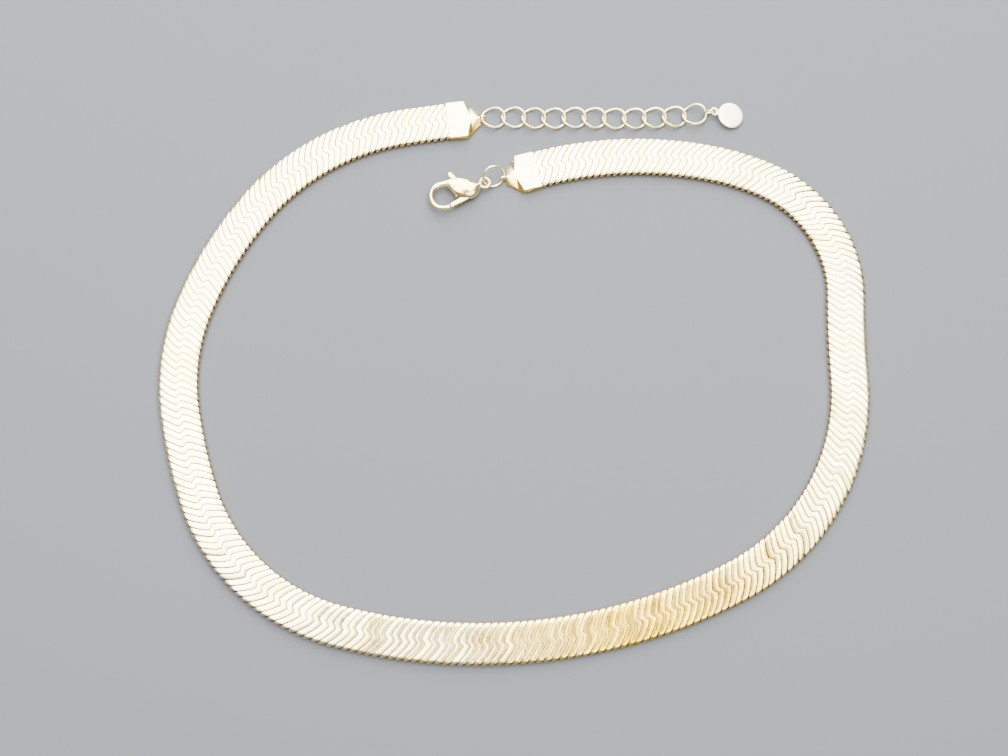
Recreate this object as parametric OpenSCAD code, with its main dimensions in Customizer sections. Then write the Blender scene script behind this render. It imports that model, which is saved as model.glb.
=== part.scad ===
// Flat herringbone chain with folded end caps, a lobster clasp on a jump ring
// and an extender of curb links that ends in a small round tag.
// Lies open on a table: +Z up, X to the right, Y away from the wearer's end.

/* [Band] */
// Width of the herringbone band
band_w = 10; // [8:0.1:12]
// Thickness of the band
band_t = 1.9; // [1.6:0.05:2.2]
// Distance between two cross sections of the band
ring_step = 4; // [2:0.5:6]

/* [End caps] */
// Length of the sleeve that grips the end of the band
sleeve_len = 4.6; // [3.5:0.1:5]
// Thickness of the folded sheet
sheet_t = 0.35; // [0.25:0.05:0.4]
// Length of the tapered nose
nose_len = 3.7; // [3.4:0.1:4.4]
// Width of the nose at its tip
nose_tip_w = 3.4; // [2.6:0.1:4]
// Width of the pierced lug on the tip
lug_w = 0.4; // [0.3:0.05:0.4]

/* [Extender] */
// Number of curb links
link_count = 11; // [6:1:11]
// Distance from one curb link to the next
link_pitch = 5.17; // [5:0.01:5.4]
// Diameter of the curb link wire
link_wire = 0.66; // [0.5:0.01:0.7]
// Width of a curb link over its wire
link_w = 5.9; // [5.4:0.1:6.4]
// Upward tilt of the last curb link
last_link_tilt = 8; // [7:0.5:9]

/* [Tag] */
// Diameter of the small ring that carries the tag
tag_ring_d = 3.4; // [3.3:0.05:3.6]
// Diameter of the small ring's wire
tag_ring_wire = 0.5; // [0.4:0.02:0.54]
// Diameter of the tag
tag_d = 6.9; // [6:0.1:7.4]
// Thickness of the tag
tag_t = 0.6; // [0.4:0.05:0.8]

/* [Clasp] */
// Outer diameter of the jump ring between the clasp and its end cap
jump_ring_d = 5.9; // [5.85:0.01:5.95]
// Diameter of the jump ring's wire
jump_ring_wire = 0.6; // [0.5:0.02:0.6]
// Height of the clasp's middle plane above the table
clasp_mid_z = 1.7; // [1.6:0.05:1.75]
// Thickness of the clasp's lever
lever_t = 1.1; // [0.8:0.05:1.2]
// Diameter of the rivet that the lever turns on
rivet_d = 0.8; // [0.6:0.05:0.9]

/* [Hidden] */
// Course of the band's middle line from the tail cap to the clasp cap:
// length of the arc, turn over it in degrees, positive to the left
BENDS = [
    [5, 0], [12, 3.5], [44, 42.5], [28, 17.5], [27, 30], [20, 8.5], [48, 56.5],
    [96, 41], [61, 64.5], [20, -5.5], [38, 69], [14, 13.5], [44, 27], [6.3, 0]];
start = [-12.12, 65.27, -173.3];

band_gap = 0.1;
tongue_in = 0.5;
tongue_w = band_w - 2 * sheet_t - 0.3;
tongue_t = band_t - 2 * sheet_t - 0.2;
shoulder = 0.8;
side_drop = 0.25;

lug_hole = [1.2, 1.6];
lug_wall = 0.25;
lug_z = 1.05;
lug_reach = nose_len + lug_hole[0] / 2;
nose_mid = nose_len * 0.45;

// Heading of each curb link in degrees
LINK_TURN = [3, -2, -3, 1, 2.5, -3.5, -2, 2, 2, 4, 6.5];
link_gap = 0.1;
first_link_in = 0.15;
link_a = (link_pitch + link_wire + link_gap) / 2;
link_b = (link_w - link_wire) / 2;
link_twist = 0.47;
link_z = link_twist + link_wire / 2 + 0.01;
link_sides = 6;
link_rings = 16;

tag_ring_r = (tag_ring_d - tag_ring_wire) / 2;
tag_ring_lean = 13;
tag_tilt = 10;
tag_turn = -17;
tag_lug_r = 1.1;
tag_lug_hole_r = 0.48;
tag_lug_out = 4.4;

jump_r = (jump_ring_d - jump_ring_wire) / 2;
jump_z = 2.18;
jump_roll = 42.9;
jump_pitch = 10.2;
jump_to_lug = [2.37, -0.59];
jump_to_eye = [-2.45, -1.07];
jump_turn = 12;
clasp_heading = 194;

eye_r = 1.25;
eye_wire_r = 0.4;
hook_c = [10.9, 0.8];
hook_r = 3.25;
hook_wire_r = 0.62;
hook_from = -128;
hook_to = 104;
bow_c = [10.95, 0.9];
bow_r = 2.6;
// Corners of the clasp's body: place along the clasp, place across it, radius
BODY_CORNERS = [
    [9.2, -1.7, 1.55], [6.6, -1.75, 1.6], [4.5, 1.75, 1.5], [7.0, 1.6, 1.1],
    [2.6, 0.45, 1.15]];
pivot = [5.1, 1.75];
rivet_play = 0.05;
hub_r = 0.95;
slot_play = 0.12;
// Outline of the lever's gate arm and of its thumb arm, from the pivot
GATE_ARM = [[-0.3, 0.9], [-0.1, 1.45], [4.5, 2.62], [4.8, 1.55], [2.3, 0.85], [0.9, -0.3]];
THUMB_ARM = [[0.9, 0.2], [2.45, -4.6], [3.1, -5.3], [3.5, -6.1], [2.85, -6.55], [2.2, -5.9],
    [1.5, -4.6], [-0.2, -0.9]];
// Room that the arms sweep when the lever turns by 25 degrees, from the pivot
GATE_SLOT = [[0.7, -0.9], [2.5, -0.42], [4.7, -0.4], [4.72, 1.3], [3.9, 2.95], [3.6, 3.15],
    [-0.3, 1.7], [-0.6, 0.9]];
THUMB_SLOT = [[1.1, 0.26], [-0.72, -0.5], [-0.78, -6.6], [3.4, -6.6], [3.3, -5.2], [2.65, -4.5]];

gold = [0.86, 0.70, 0.38];
pale_gold = [0.92, 0.80, 0.52];
deep_gold = [0.78, 0.60, 0.30];

link_names = ["extender_link_1", "extender_link_2", "extender_link_3", "extender_link_4",
    "extender_link_5", "extender_link_6", "extender_link_7", "extender_link_8",
    "extender_link_9", "extender_link_10", "extender_link_11"];

$fn = 48;

// One step along an arc: p is x, y and heading, and the chord stands for the arc
function step(p, length, turn) =
    let (half = turn / 2,
         chord = abs(turn) < 0.001 ? length : length * sin(half) / (half * PI / 180))
    [p[0] + chord * cos(p[2] + half), p[1] + chord * sin(p[2] + half), p[2] + turn];

// Place and heading on the band's middle line at arc length s
function place(s, i = 0, p = start) =
    s <= BENDS[i][0] || i == len(BENDS) - 1
        ? step(p, s, BENDS[i][1] * s / BENDS[i][0])
        : place(s - BENDS[i][0], i + 1, step(p, BENDS[i][0], BENDS[i][1]));

function total(rows, i = 0) = i == len(rows) ? 0 : rows[i][0] + total(rows, i + 1);

band_len = total(BENDS);

// Half-round outline of the band's cross section: distance to the left, height
function band_outline(w, t) =
    let (h = w / 2, s = min(shoulder, h / 2), d = min(side_drop, t / 4))
    [[h, t / 2], [h - d, t - d], [h - s, t], [-h + s, t], [-h + d, t - d],
     [-h, t / 2], [-h + d, d], [-h + s, 0], [h - s, 0], [h - d, d]];

// Closed solid through rings of points that all have the same number of corners
module skin(rings) {
    n = len(rings[0]);
    last = len(rings) - 1;
    faces = concat(
        [[for (j = [0:n - 1]) j]],
        [for (i = [0:last - 1], j = [0:n - 1])
            let (k = (j + 1) % n, a = i * n, b = a + n)
            each [[a + j, b + j, a + k], [a + k, b + j, b + k]]],
        [[for (j = [n - 1:-1:0]) last * n + j]]);
    polyhedron(points = [for (r = rings) each r], faces = faces);
}

// Solid that bends round and closes on itself, through rings in order
module closed_skin(rings) {
    n = len(rings[0]);
    m = len(rings);
    faces = [for (i = [0:m - 1], j = [0:n - 1])
        let (k = (j + 1) % n, a = i * n, b = ((i + 1) % m) * n)
        each [[a + j, b + j, a + k], [a + k, b + j, b + k]]];
    polyhedron(points = [for (r = rings) each r], faces = faces);
}

// The flattened chain: one woven strap, with a narrower tongue at each end
// that sits inside the cap's sleeve
module herringbone_band() {
    grip = sleeve_len + band_gap;
    run = band_len - 2 * grip;
    n = ceil(run / ring_step);
    stations = concat(
        [[tongue_in, tongue_w, tongue_t], [grip, tongue_w, tongue_t]],
        [for (k = [0:n]) [grip + run * k / n, band_w, band_t]],
        [[band_len - grip, tongue_w, tongue_t], [band_len - tongue_in, tongue_w, tongue_t]]);
    color(gold)
    skin([for (q = stations)
        let (p = place(q[0]), lift = (band_t - q[2]) / 2)
        [for (c = band_outline(q[1], q[2]))
            [p[0] - c[0] * sin(p[2]), p[1] + c[0] * cos(p[2]), c[1] + lift]]]);
}

// Cross section of the nose: distance along it, half width, height of the
// side, half width of the ridge, height of the ridge
function nose_ring(x, half_w, side_h, ridge_w, top) =
    [[x, half_w, 0], [x, half_w, side_h], [x, ridge_w, top], [x, -ridge_w, top],
     [x, -half_w, side_h], [x, -half_w, 0]];

// Sleeve of folded sheet with a pinched nose and a pierced lug for a ring;
// +X points from the band to the tip
module end_cap() {
    h = band_w / 2;
    c = 0.3;
    difference() {
        union() {
            rotate([90, 0, -90])
                linear_extrude(sleeve_len)
                    polygon([[h, c], [h, band_t - c], [h - c, band_t], [-h + c, band_t],
                        [-h, band_t - c], [-h, c], [-h + c, 0], [h - c, 0]]);
            skin([
                nose_ring(-0.2, h - 0.05, band_t - 0.4, h - 0.5, band_t - 0.02),
                nose_ring(0.1, h - 0.35, band_t - 0.45, h - 0.8, band_t - 0.02),
                nose_ring(nose_mid, h * 0.62, 0.9, 0.45, band_t - 0.05),
                nose_ring(nose_len, nose_tip_w / 2, 0.7, 0.4, band_t - 0.4)]);
            translate([nose_len - 0.4, lug_w / 2, lug_z - lug_hole[1] / 2 - lug_wall])
                rotate([90, 0, 0])
                    linear_extrude(lug_w)
                        square([0.4 + lug_hole[0] + lug_wall, lug_hole[1] + 2 * lug_wall]);
        }
        translate([-sleeve_len - 1, -h + sheet_t, sheet_t])
            cube([sleeve_len + 0.8, 2 * (h - sheet_t), band_t - 2 * sheet_t]);
        translate([nose_len, -lug_w, lug_z - lug_hole[1] / 2])
            cube([lug_hole[0], 2 * lug_w, lug_hole[1]]);
    }
}

module tail_end_cap() {
    color(pale_gold)
    translate([start[0], start[1], 0])
        rotate(start[2] + 180)
            end_cap();
}

module clasp_end_cap() {
    e = place(band_len);
    color(pale_gold)
    translate([e[0], e[1], 0])
        rotate(e[2])
            end_cap();
}

// Middle of curb link i: each link starts half a pitch on from the last one
function dir(a) = [cos(a), sin(a)];
function link_centre(i) =
    i == 0
        ? [start[0], start[1]] + (lug_reach - first_link_in) * dir(start[2] + 180)
            + link_a * dir(LINK_TURN[0])
        : link_centre(i - 1) + link_pitch / 2 * (dir(LINK_TURN[i - 1]) + dir(LINK_TURN[i]));

// Twisted oval of wire: along a cos, across b sin, height twist sin of the
// double angle, swept with a six-sided wire
module curb_link() {
    r = link_wire / 2;
    closed_skin([for (i = [0:link_rings - 1])
        let (q = 360 * i / link_rings,
             m = [link_a * cos(q), link_b * sin(q), link_twist * sin(2 * q)],
             t0 = [-link_a * sin(q), link_b * cos(q), 2 * link_twist * cos(2 * q)],
             t = t0 / norm(t0),
             out0 = [cos(q), sin(q), 0],
             out1 = out0 - (out0 * t) * t,
             out = out1 / norm(out1),
             up = cross(t, out))
        [for (k = [0:link_sides - 1])
            let (w = 360 * k / link_sides)
            m - r * (cos(w) * out + sin(w) * up)]]);
}

module extender_link(i) {
    c = link_centre(i);
    last = i == link_count - 1;
    tilt = last ? last_link_tilt : 0;
    color(pale_gold)
    translate([c[0], c[1], link_z + link_a * sin(tilt)])
        rotate(LINK_TURN[i])
            rotate([0, -tilt, 0])
                curb_link();
}

tail_dir = LINK_TURN[link_count - 1];
last_end = link_centre(link_count - 1) + link_a * cos(last_link_tilt) * dir(tail_dir);
last_end_z = link_z + 2 * link_a * sin(last_link_tilt);
tag_ring_c = last_end + (tag_ring_r - (tag_ring_wire + link_wire) / 2 - 0.06) * dir(tail_dir);
tag_ring_z = tag_ring_d / 2 + 0.02;

// Small ring that stands on edge between the last link and the tag's lug
module tag_ring() {
    color(gold)
    translate([tag_ring_c[0], tag_ring_c[1], tag_ring_z])
        rotate([90 + tag_ring_lean, 0, tail_dir])
            rotate_extrude()
                translate([tag_ring_r, 0])
                    circle(d = tag_ring_wire, $fn = 32);
}

// Blank round tag with a pierced lug: leans on its far edge, lug end up
module tag() {
    lug = tag_ring_c + tag_ring_r * dir(tail_dir);
    mid_z = tag_d / 2 * sin(tag_tilt) + tag_t / 2 * cos(tag_tilt) + 0.01;
    mid = lug + tag_lug_out * cos(tag_tilt) * dir(tail_dir + tag_turn);
    color(pale_gold)
    translate([mid[0], mid[1], mid_z])
        rotate([0, 0, tail_dir + tag_turn])
            rotate([0, tag_tilt, 0])
                translate([0, 0, -tag_t / 2])
                    difference() {
                        union() {
                            cylinder(d = tag_d, h = tag_t);
                            translate([-tag_lug_out, 0, 0])
                                cylinder(r = tag_lug_r, h = tag_t);
                            translate([-tag_lug_out, -tag_lug_r * 0.7, 0])
                                cube([tag_lug_out - tag_d / 2 + 0.4, tag_lug_r * 1.4, tag_t]);
                        }
                        translate([-tag_lug_out, 0, -1])
                            cylinder(r = tag_lug_hole_r, h = tag_t + 2);
                    }
}

cap_end = place(band_len);
clasp_lug = [cap_end[0], cap_end[1]] + lug_reach * dir(cap_end[2]);
function turned(v, a) = [v[0] * cos(a) - v[1] * sin(a), v[0] * sin(a) + v[1] * cos(a)];
jump_c = clasp_lug - turned(jump_to_lug, jump_turn);
eye_c = jump_c + turned(jump_to_eye, jump_turn);

// Ring that joins the clasp's eye to the lug of its end cap
module jump_ring() {
    color(gold)
    translate([jump_c[0], jump_c[1], jump_z])
        rotate(jump_turn)
            rotate([jump_roll, jump_pitch, 0])
                rotate_extrude()
                    translate([jump_r, 0])
                        circle(d = jump_ring_wire, $fn = 32);
}

// Places its children in the clasp's frame: eye at the origin, +X to the hook
module in_clasp() {
    translate([eye_c[0], eye_c[1], clasp_mid_z])
        rotate(clasp_heading)
            children();
}

// Rounded body with the hook, the eye and the rivet in one casting
module clasp_body() {
    slot_t = lever_t + 2 * slot_play;
    color(gold)
    in_clasp() {
        difference() {
            union() {
                hull()
                    for (b = BODY_CORNERS)
                        translate([b[0], b[1], 0])
                            sphere(r = b[2], $fn = 20);
                translate([hook_c[0], hook_c[1], 0])
                    rotate(hook_from)
                        rotate_extrude(angle = hook_to - hook_from)
                            translate([hook_r, 0])
                                circle(r = hook_wire_r, $fn = 32);
            }
            translate([bow_c[0], bow_c[1], -3])
                cylinder(r = bow_r, h = 6);
            translate([pivot[0], pivot[1], -slot_t / 2]) {
                cylinder(r = hub_r + slot_play, h = slot_t);
                linear_extrude(slot_t)
                    polygon(THUMB_SLOT);
                linear_extrude(slot_t)
                    polygon(GATE_SLOT);
            }
        }
        translate([pivot[0], pivot[1], -1.25])
            cylinder(d = rivet_d, h = 2.5);
        rotate_extrude()
            translate([eye_r, 0])
                circle(r = eye_wire_r, $fn = 32);
    }
}

// Spring-loaded lever: the gate arm closes the hook, the thumb arm opens it
module clasp_lever() {
    color(deep_gold)
    in_clasp()
        translate([pivot[0], pivot[1], -lever_t / 2])
            difference() {
                union() {
                    cylinder(r = hub_r, h = lever_t);
                    linear_extrude(lever_t)
                        polygon(GATE_ARM);
                    linear_extrude(lever_t)
                        polygon(THUMB_ARM);
                }
                translate([0, 0, -1])
                    cylinder(r = rivet_d / 2 + rivet_play, h = lever_t + 2);
            }
}

herringbone_band();
tail_end_cap();
clasp_end_cap();
for (i = [0:link_count - 1])
    extender_link(i);
tag_ring();
tag();
jump_ring();
clasp_body();
clasp_lever();
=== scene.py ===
import math

import bpy
import numpy as np
from mathutils import Matrix


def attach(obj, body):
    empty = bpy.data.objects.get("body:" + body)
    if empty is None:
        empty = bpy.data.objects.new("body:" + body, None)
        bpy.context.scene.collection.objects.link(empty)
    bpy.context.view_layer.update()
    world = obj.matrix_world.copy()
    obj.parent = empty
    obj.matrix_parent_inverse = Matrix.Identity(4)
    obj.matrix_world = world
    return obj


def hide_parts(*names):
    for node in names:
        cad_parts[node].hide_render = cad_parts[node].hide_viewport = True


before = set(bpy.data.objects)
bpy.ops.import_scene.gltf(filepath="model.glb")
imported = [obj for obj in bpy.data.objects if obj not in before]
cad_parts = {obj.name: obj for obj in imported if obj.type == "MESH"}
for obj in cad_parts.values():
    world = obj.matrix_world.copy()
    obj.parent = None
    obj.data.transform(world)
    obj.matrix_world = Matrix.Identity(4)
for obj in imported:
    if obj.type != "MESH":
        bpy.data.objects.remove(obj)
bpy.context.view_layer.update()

MM = 0.001

# The view of the necklace
#
# The camera looks down on the necklace, 13 degrees off straight down, from 30 cm away.
LOOKS_AT = (-3.25, -2.41, 0)
CAMERA_SPIN = -0.79
CAMERA_LEAN = -1.24
CAMERA_TILT = 13.37
CAMERA_AWAY = 304
CAMERA_LENS = 44.5
camera_turn = (Matrix.Rotation(math.radians(CAMERA_SPIN), 4, "Z")
               @ Matrix.Rotation(math.radians(CAMERA_LEAN), 4, "Y")
               @ Matrix.Rotation(math.radians(CAMERA_TILT), 4, "X"))
camera = bpy.data.objects.new("camera", bpy.data.cameras.new("camera"))
camera.data.sensor_width = 36
camera.data.lens = CAMERA_LENS
camera.data.clip_start = 0.01
camera.matrix_world = (Matrix.Translation([c * MM for c in LOOKS_AT]) @ camera_turn
                       @ Matrix.Translation((0, 0, CAMERA_AWAY * MM)))
bpy.context.scene.collection.objects.link(camera)
bpy.context.scene.camera = camera

# The table and the daylight
#
# A plain pale matt surface under the necklace, a wide soft light over its far side, one low
# behind it, a small one over its left and a weak warm one over its near right.
TABLE_HALF = 3
TABLE_COLOUR = (0.103, 0.112, 0.132, 1)
TABLE_ROUGHNESS = 0.9
DAYLIGHT_COLOUR = (0.86, 0.92, 1, 1)
DAYLIGHT_STRENGTH = 0.42
table_material = bpy.data.materials.new("pale_table")
table_material.use_nodes = True
table_shader = table_material.node_tree.nodes["Principled BSDF"]
table_shader.inputs["Base Color"].default_value = TABLE_COLOUR
table_shader.inputs["Roughness"].default_value = TABLE_ROUGHNESS
table_mesh = bpy.data.meshes.new("table")
table_corners = [(-TABLE_HALF, -TABLE_HALF, 0), (TABLE_HALF, -TABLE_HALF, 0),
                 (TABLE_HALF, TABLE_HALF, 0), (-TABLE_HALF, TABLE_HALF, 0)]
table_mesh.from_pydata(table_corners, [], [(0, 1, 2, 3)])
table_mesh.materials.append(table_material)
table = bpy.data.objects.new("table", table_mesh)
bpy.context.scene.collection.objects.link(table)

world = bpy.data.worlds.new("daylight")
world.use_nodes = True
world.node_tree.nodes["Background"].inputs["Color"].default_value = DAYLIGHT_COLOUR
world.node_tree.nodes["Background"].inputs["Strength"].default_value = DAYLIGHT_STRENGTH
bpy.context.scene.world = world


def soft_light(name, place, size, power, colour):
    """A square area light at a place in metres, turned so that it faces the origin."""
    data = bpy.data.lights.new(name, "AREA")
    data.size = size
    data.energy = power
    data.color = colour
    light = bpy.data.objects.new(name, data)
    x, y, z = place
    light.location = place
    light.rotation_euler = (math.acos(z / math.sqrt(x * x + y * y + z * z)), 0,
                            math.atan2(y, x) + math.pi / 2)
    bpy.context.scene.collection.objects.link(light)


soft_light("window", place=(0.06, 0.42, 0.62), size=0.82, power=32, colour=(1, 0.985, 0.95))
soft_light("doorway", place=(-0.10, 0.95, 0.36), size=0.60, power=14, colour=(1, 0.99, 0.96))
soft_light("side", place=(-0.22, -0.02, 0.60), size=0.32, power=4.5, colour=(1, 0.98, 0.94))
soft_light("room", place=(0.28, -0.20, 0.56), size=0.40, power=4.0, colour=(1, 0.93, 0.56))

# The herringbone chain
#
# About 260 flat brass links stand side by side, each bent to a chevron with a short kick at
# the middle, hooked through the next and rolled flat, then plated pale gold. The links open
# like a fan on the outside of a bend, and the crushed last ones sit in the end caps.
BAND_THICK = 1.9
BAND_HALF = 5
LINK_COUNT = 264
# How far an end cap's sleeve reaches over the chain, and how far the last links sit in it
SLEEVE = 4.6
LINKS_IN = 3
# The chain's course in millimetres, from the extender's cap to the clasp's: the length of each
# arc and the degrees that it turns to the left, and the x, y and heading where it starts
COURSE = np.array([
    (5, 0), (12, 3.5), (44, 42.5), (28, 17.5), (27, 30), (20, 8.5), (48, 56.5), (96, 41),
    (61, 64.5), (20, -5.5), (38, 69), (14, 13.5), (44, 27), (6.3, 0)])
COURSE_START = (-12.12, 65.27, -173.3)
COURSE_LENGTH = COURSE[:, 0].sum()
# The front of the chain, where painted shade deepens the gold: its middle and half length
FRONT_SHADE_MIDDLE = 256
FRONT_SHADE_LENGTH = 38
# Brown spots of tarnish: place along the chain, place across it, half length, half width,
# strength
TARNISH = np.array([
    (183, -1.8, 4.0, 1.7, 0.8), (189, 2.8, 5.5, 1.6, 0.7), (194, 2.0, 1.2, 2.0, 0.9),
    (177, -3.4, 3.0, 1.0, 0.35), (207, -3.2, 7.0, 1.2, 0.55), (218, -1.6, 4.5, 2.2, 0.6),
    (221, 2.6, 4.0, 1.6, 0.6), (228, -2.6, 4.0, 1.6, 0.45), (236, 1.6, 6.0, 2.8, 0.3),
    (246, -2.4, 6.0, 1.6, 0.5), (259.5, -2.4, 3.0, 2.0, 1.0), (256, 2.6, 4.5, 1.8, 0.6),
    (270, -2.6, 5.0, 2.0, 0.45), (276, 0.6, 7.0, 3.6, 0.75), (288, -0.6, 4.5, 2.6, 0.45),
    (360, -3.2, 3.0, 1.0, 0.4), (374, 2.4, 2.5, 1.6, 0.3)])
# Outline of a link round the band, top face from the inner edge, and the edge's round: place
# across, height, half length of the link there in pitches
TOP_FACE = np.array([
    (-4.72, 1.64, 0.35), (-4.38, 1.82, 0.445), (-3.8, 1.88, 0.475), (-2.7, 1.88, 0.485),
    (-1.6, 1.88, 0.485), (-0.55, 1.88, 0.485), (0.5, 1.88, 0.485), (1.6, 1.88, 0.485),
    (2.7, 1.88, 0.485), (3.8, 1.88, 0.475), (4.38, 1.82, 0.445), (4.72, 1.64, 0.35)])
EDGE_ROUND = np.array([(4.90, 1.32, 0.27), (4.965, 0.95, 0.24), (4.90, 0.58, 0.27)])
# A link's top is flat over this part of its half length, and from there it falls this deep
# into the groove beside it
FACE_PART = 0.84
GROOVE_DEPTH = 0.24
# How far the surface leans along the chain, as a slope, on the face and in the groove
FACE_SLOPE = 0.10
GROOVE_SLOPE = 1.1
# The chevron, in pitches along the chain: how far the inner edge lies ahead, the kick's step
# and how far the outer edge falls back. In millimetres: where the kick starts and ends on
# either side of the middle, and how far the two arms reach out from it.
INNER_AHEAD = 1.5
KICK_STEP = 0.55
OUTER_BACK = 2.0
KICK_INNER = 0.55
KICK_OUTER = 0.5
INNER_ARM = 4.4
OUTER_ARM = 4.5
INNER_CURVE = 1.4
OUTER_CURVE = 1.25
# How much the links differ: slope along and across, place in pitches, and the two parts of
# the way that each catches the light
LEAN_SPREAD = 0.03
ROLL_SPREAD = 0.006
SHIFT_SPREAD = 0.007
SWAY_SPREAD = 0.035
TWIST_SPREAD = 0.045
# The rolled links lie this far below their drawn height
ROLLED = 0.06
# Links in a sleeve: the crush starts this far outside the sleeve and is full after this run,
# when they are this much flatter and narrower
CRUSH_OUTSIDE = 0.35
CRUSH_RUN = 0.4
CRUSH_FLAT = 0.40
CRUSH_NARROW = 0.09
# What would stand out past this room at either end is drawn in to a small part of its length
END_ROOM = 1.2
END_DRAWN = 0.05
# A step along the course that is short enough to show its direction
SHORT_STEP = 0.01


def on_course(place, across, height):
    """Points in metres on the chain's course, from the place along it, the distance across to
    the right of it and the height over the table. The course is arcs joined end to end: the
    heading grows evenly along each, and the chord of an arc of length l that turns by t is
    l sin(t/2) / (t/2)."""
    place = np.asarray(place, float)
    lengths = COURSE[:, 0]
    turns = np.radians(COURSE[:, 1])
    ends = np.cumsum(lengths)
    heading = np.radians(COURSE_START[2]) + np.concatenate([[0], np.cumsum(turns)])
    chord = lengths * np.sinc(turns / 2 / np.pi)
    chord_heading = heading[:-1] + turns / 2
    x0 = COURSE_START[0] + np.concatenate([[0], np.cumsum(chord * np.cos(chord_heading))])
    y0 = COURSE_START[1] + np.concatenate([[0], np.cumsum(chord * np.sin(chord_heading))])
    arc = np.clip(np.searchsorted(ends, place), 0, len(ends) - 1)
    along = place - (ends[arc] - lengths[arc])
    turned = turns[arc] * along / lengths[arc]
    reach = along * np.sinc(turned / 2 / np.pi)
    x = x0[arc] + reach * np.cos(heading[arc] + turned / 2)
    y = y0[arc] + reach * np.sin(heading[arc] + turned / 2)
    angle = heading[arc] + turned
    return MM * np.stack([x + across * np.sin(angle), y - across * np.cos(angle),
                          height + 0 * x], axis=-1)


def outward(points, faces):
    """The faces of a closed shape, all turned over if they look inward. They look inward if the
    volume that they close is below zero: the sum of a . (b x c) / 6 over the triangles a, b, c
    that fan out from each face's first corner."""
    corners = np.asarray(points).reshape(-1, 3)
    quads = corners[np.array([face for face in faces if len(face) == 4])]
    fans = [corners[np.array(face)] for face in faces if len(face) != 4]
    volume = np.sum(quads[:, 0] * np.cross(quads[:, 1], quads[:, 2]))
    volume += np.sum(quads[:, 0] * np.cross(quads[:, 2], quads[:, 3]))
    volume += sum(np.sum(fan[0] * np.cross(fan[1:-1], fan[2:])) for fan in fans)
    return [face[::-1] for face in faces] if volume < 0 else faces


def add_mesh(name, points, faces, normals=None):
    """A mesh object at the origin from points in metres and lists of corners, shaded smooth,
    with one normal for each point if they are given."""
    mesh = bpy.data.meshes.new(name)
    mesh.from_pydata(np.asarray(points).reshape(-1, 3).tolist(), [], outward(points, faces))
    mesh.polygons.foreach_set("use_smooth", np.ones(len(faces), bool))
    if normals is not None:
        mesh.normals_split_custom_set_from_vertices(normals.reshape(-1, 3).tolist())
    mesh.update()
    piece = bpy.data.objects.new(name, mesh)
    bpy.context.scene.collection.objects.link(piece)
    return piece


def grid_faces(rows, columns, wrap_rows=False, wrap_columns=False):
    """Corners of the quads of a grid of points, numbered row by row, as a list."""
    row = np.arange(rows if wrap_rows else rows - 1)
    column = np.arange(columns if wrap_columns else columns - 1)
    row, column = np.meshgrid(row, column, indexing="ij")
    next_row = (row + 1) % rows
    next_column = (column + 1) % columns
    quads = np.stack([row * columns + column, row * columns + next_column,
                      next_row * columns + next_column, next_row * columns + column], axis=-1)
    return quads.reshape(-1, 4).tolist()


def set_attribute(piece, name, values):
    """Stores one number for each point of a piece, for its material to read."""
    attribute = piece.data.attributes.new(name, "FLOAT", "POINT")
    attribute.data.foreach_set("value", np.asarray(values, float).ravel())


def unit(vectors):
    """Vectors scaled to length 1."""
    return vectors / np.linalg.norm(vectors, axis=-1, keepdims=True)


def chevron(across):
    """How far a link's edge lies ahead of its middle, in pitches: most at the inner edge,
    falling as a power of the distance to the kick, an even step across the kick, and falling
    as a power of the distance from it to the outer edge."""
    inner = np.clip((-across - KICK_INNER) / INNER_ARM, 0, 1)
    kick = np.clip((across + KICK_INNER) / (KICK_INNER + KICK_OUTER), 0, 1)
    outer = np.clip((across - KICK_OUTER) / OUTER_ARM, 0, 1)
    return (INNER_AHEAD * inner ** INNER_CURVE + KICK_STEP * kick
            - OUTER_BACK * outer ** OUTER_CURVE)


# The bottom face has half the points of the top one, turned over, from the outer edge back
bottom_face = TOP_FACE[[10, 8, 6, 5, 3, 1]] * (1, -1, 1) + (0, BAND_THICK, 0)
outline = np.concatenate([TOP_FACE, EDGE_ROUND, bottom_face, EDGE_ROUND[::-1] * (-1, 1, 1)])
around = len(outline)
outline_across, outline_height, half_long = outline.T
# The way out of the outline at each of its points, and the points sunk along it
out_across = np.roll(outline_height, 1) - np.roll(outline_height, -1)
out_height = np.roll(outline_across, -1) - np.roll(outline_across, 1)
out_across, out_height = unit(np.stack([out_across, out_height], axis=-1)).T
row_along = np.array([-1.0, -FACE_PART, FACE_PART, 1.0])
row_sunk = np.array([GROOVE_DEPTH, 0.0, 0.0, GROOVE_DEPTH])
row_slope = np.array([-GROOVE_SLOPE, -FACE_SLOPE, FACE_SLOPE, GROOVE_SLOPE])
link_along = row_along[:, None] * half_long
link_across = outline_across[None, :] - row_sunk[:, None] * out_across
link_height = outline_height[None, :] - row_sunk[:, None] * out_height

rng = np.random.default_rng(7)
pitch = (COURSE_LENGTH - 2 * SLEEVE + 2 * LINKS_IN) / LINK_COUNT
link_place = SLEEVE - LINKS_IN + pitch * (np.arange(LINK_COUNT) + 0.5)
shape = (LINK_COUNT, len(row_along), around)
per_link = (LINK_COUNT, 1, 1)
lean = rng.normal(0, LEAN_SPREAD, per_link)
roll = rng.normal(0, ROLL_SPREAD, per_link)
shift = rng.normal(0, SHIFT_SPREAD, per_link)
across = np.broadcast_to(link_across, shape)
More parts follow.
